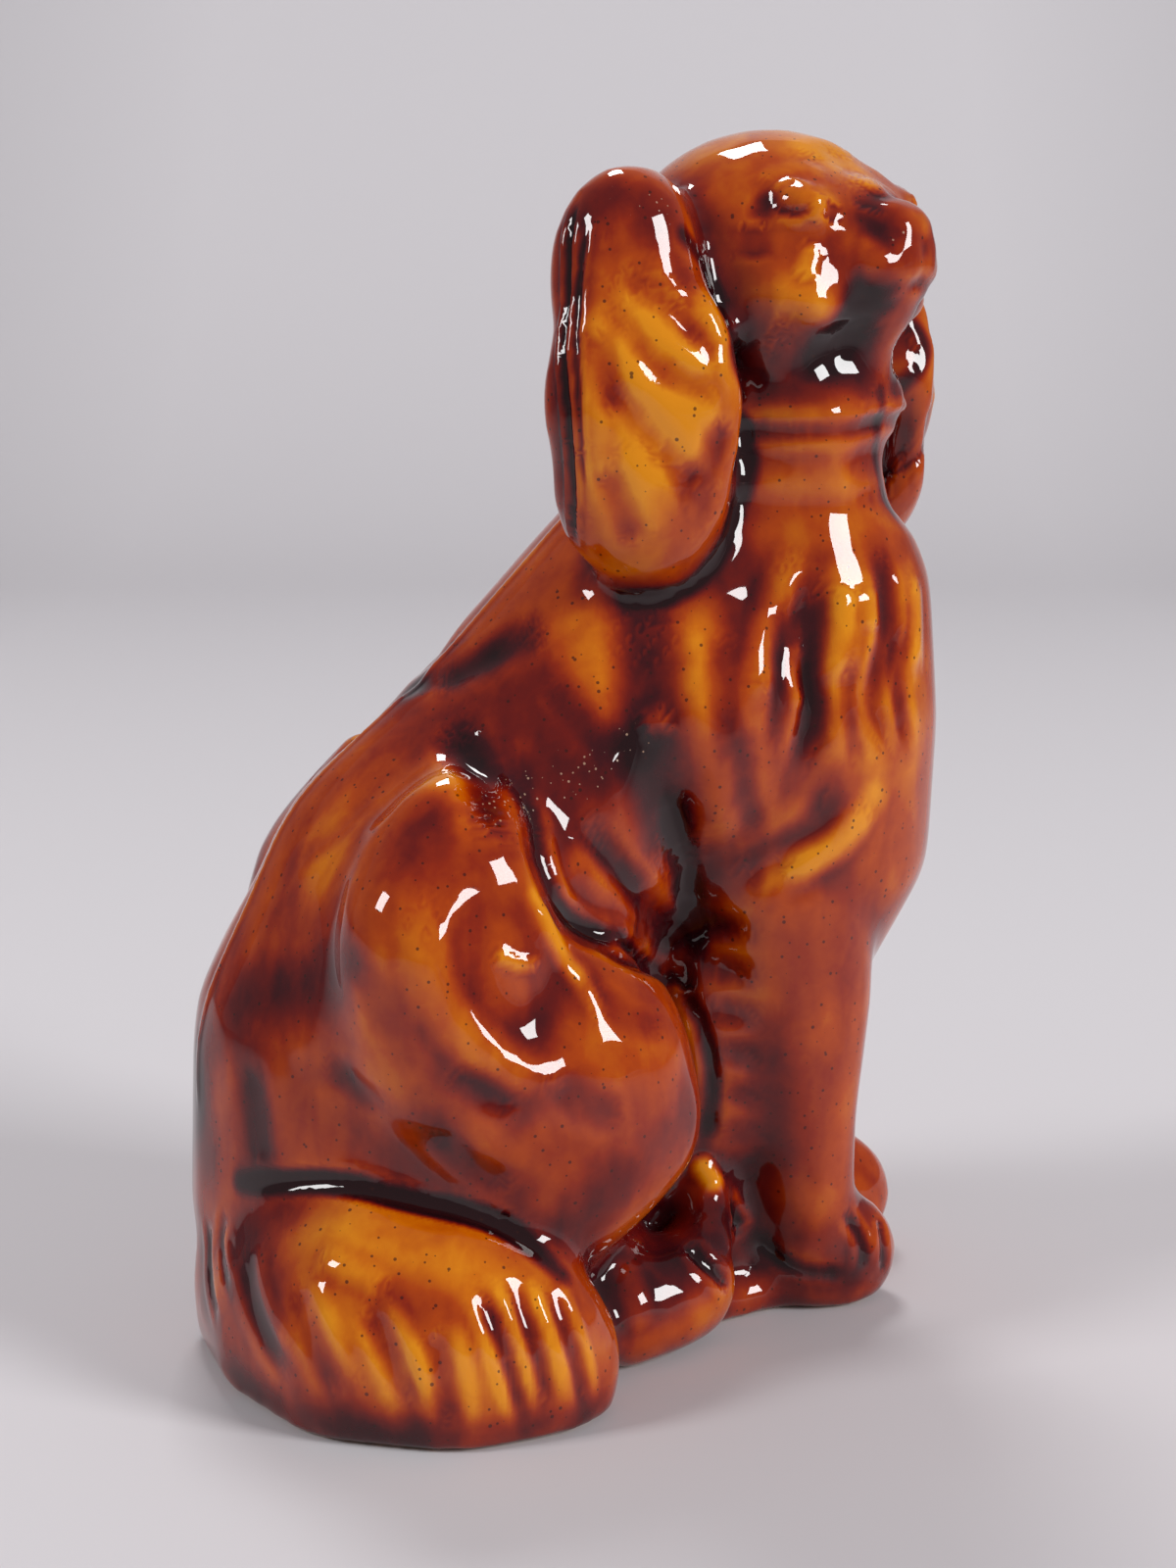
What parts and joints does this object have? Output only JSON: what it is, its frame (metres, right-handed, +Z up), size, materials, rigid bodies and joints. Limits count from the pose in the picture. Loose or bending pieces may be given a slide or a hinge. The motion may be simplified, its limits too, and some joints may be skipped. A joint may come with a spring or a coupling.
{
  "type": "pottery spaniel figure",
  "caption": "Seated spaniel in brown treacle-glazed pottery, hollow, on a flat slab foot, with its head turned to its right and its tail laid round the flank.",
  "frame": {"origin": "centre of the bounding box at the bottom of the foot slab", "axes": "+Z up; the body faces +X; the dog's right flank, which the head turns towards, is on -Y"},
  "size_m": [0.1076, 0.0792, 0.1513],
  "materials": {
    "treacle": "glossy orange-brown lead glaze, streaked dark where it pools",
    "amber": "glossy glaze, amber yellow where it lies thin on raised forms",
    "dark": "glossy glaze, nearly black where it pools at the foot"
  },
  "bodies": {
    "root": {"base_slab": "dark", "body_shell_right": "treacle", "body_shell_left": "treacle", "head_shell_face": "treacle", "head_shell_back": "treacle", "collar": "treacle", "ear_right": "amber", "ear_left": "amber", "foreleg_right": "treacle", "foreleg_left": "treacle", "hind_paw_right": "dark", "hind_paw_left": "dark", "tail": "amber"}
  },
  "joints": []
}
